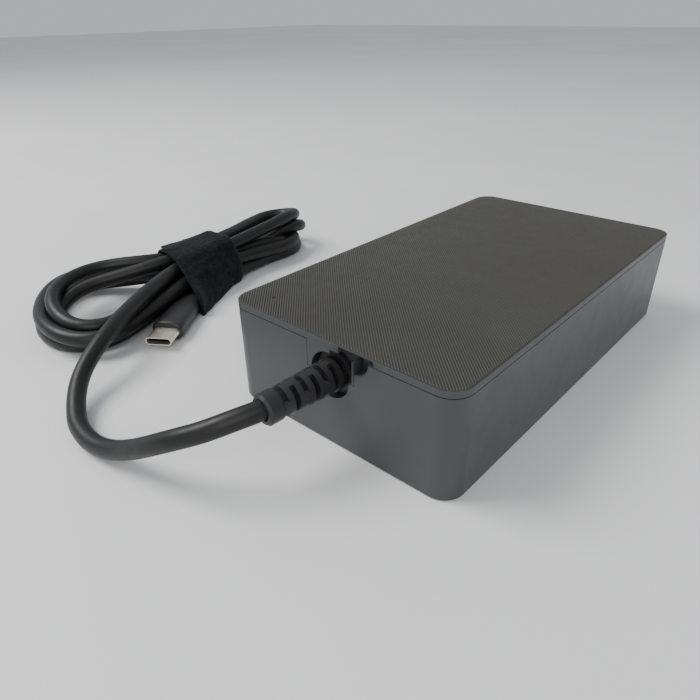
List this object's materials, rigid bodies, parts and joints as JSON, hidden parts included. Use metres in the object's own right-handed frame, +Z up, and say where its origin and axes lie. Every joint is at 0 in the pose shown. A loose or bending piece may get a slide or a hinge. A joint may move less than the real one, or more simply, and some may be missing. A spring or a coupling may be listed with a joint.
{
  "type": "laptop power adapter",
  "caption": "Rectangular laptop power adapter with a ribbed top and an appliance inlet, its captive lead folded into a hank under a hook-and-loop tie.",
  "frame": {"origin": "middle of the brick's flat underside", "axes": "+X along the brick from the lead's end to the mains inlet, +Y across it towards the folded lead, +Z up to the ribbed panel"},
  "size_m": [0.166, 0.1642, 0.0283],
  "materials": {
    "case_plastic": "satin",
    "panel_plastic": "ribbed satin",
    "clear_acrylic": "clear",
    "label_film": "matte",
    "soft_black": "satin",
    "lead_jacket": "satin",
    "hook_and_loop": "napped",
    "plug_moulding": "satin",
    "nickel_plate": "satin",
    "black_liner": "matte",
    "inlet_black": "matte",
    "pin_nickel": "satin",
    "wire_brown": "satin",
    "wire_blue": "satin",
    "wire_green_yellow": "satin",
    "green_board": "satin",
    "fuse_glass_metal": "satin",
    "varistor_coat": "satin",
    "film_capacitor_box": "satin",
    "ferrite": "matte",
    "enamelled_copper": "glossy",
    "black_epoxy": "matte",
    "capacitor_sleeve": "glossy",
    "bare_aluminium": "brushed",
    "yellow_tape": "satin",
    "disc_capacitor_coat": "satin",
    "white_epoxy": "matte",
    "wound_toroid": "glossy",
    "small_capacitor_sleeve": "glossy",
    "led_lens": "glossy",
    "core_insulation": "satin",
    "insulating_sheet": "matte",
    "silicone_pad": "matte"
  },
  "bodies": {
    "root": {"lower_case": "case_plastic", "upper_cover": "case_plastic", "top_panel": "panel_plastic", "light_window": "clear_acrylic", "rating_label": "label_film", "strain_relief": "soft_black", "lead": "lead_jacket", "lead_hank": "lead_jacket", "hank_tie": "hook_and_loop", "plug_grip": "plug_moulding", "plug_shell": "nickel_plate", "plug_tongue": "black_liner", "plug_board": "green_board", "inlet_housing": "inlet_black", "pin_live": "pin_nickel", "pin_neutral": "pin_nickel", "pin_earth": "pin_nickel", "wire_live": "wire_brown", "wire_neutral": "wire_blue", "wire_earth": "wire_green_yellow", "main_board": "green_board", "fuse": "fuse_glass_metal", "varistor": "varistor_coat", "x_capacitor": "film_capacitor_box", "choke_core": "ferrite", "choke_windings": "enamelled_copper", "bridge_rectifier": "black_epoxy", "factor_inductor": "ferrite", "bulk_capacitor": "capacitor_sleeve", "primary_heat_sink": "bare_aluminium", "primary_transistor": "black_epoxy", "transformer_core": "ferrite", "transformer_winding": "yellow_tape", "y_capacitor": "disc_capacitor_coat", "optocoupler": "white_epoxy", "secondary_heat_sink": "bare_aluminium", "rectifier_transistor": "black_epoxy", "output_choke": "wound_toroid", "output_capacitors": "small_capacitor_sleeve", "control_board": "green_board", "control_chip": "black_epoxy", "status_led": "led_lens", "lead_wires": "core_insulation", "top_heat_spreader": "bare_aluminium", "bottom_heat_spreader": "bare_aluminium", "top_insulation": "insulating_sheet", "bottom_insulation": "insulating_sheet", "thermal_pad": "silicone_pad"}
  },
  "joints": []
}
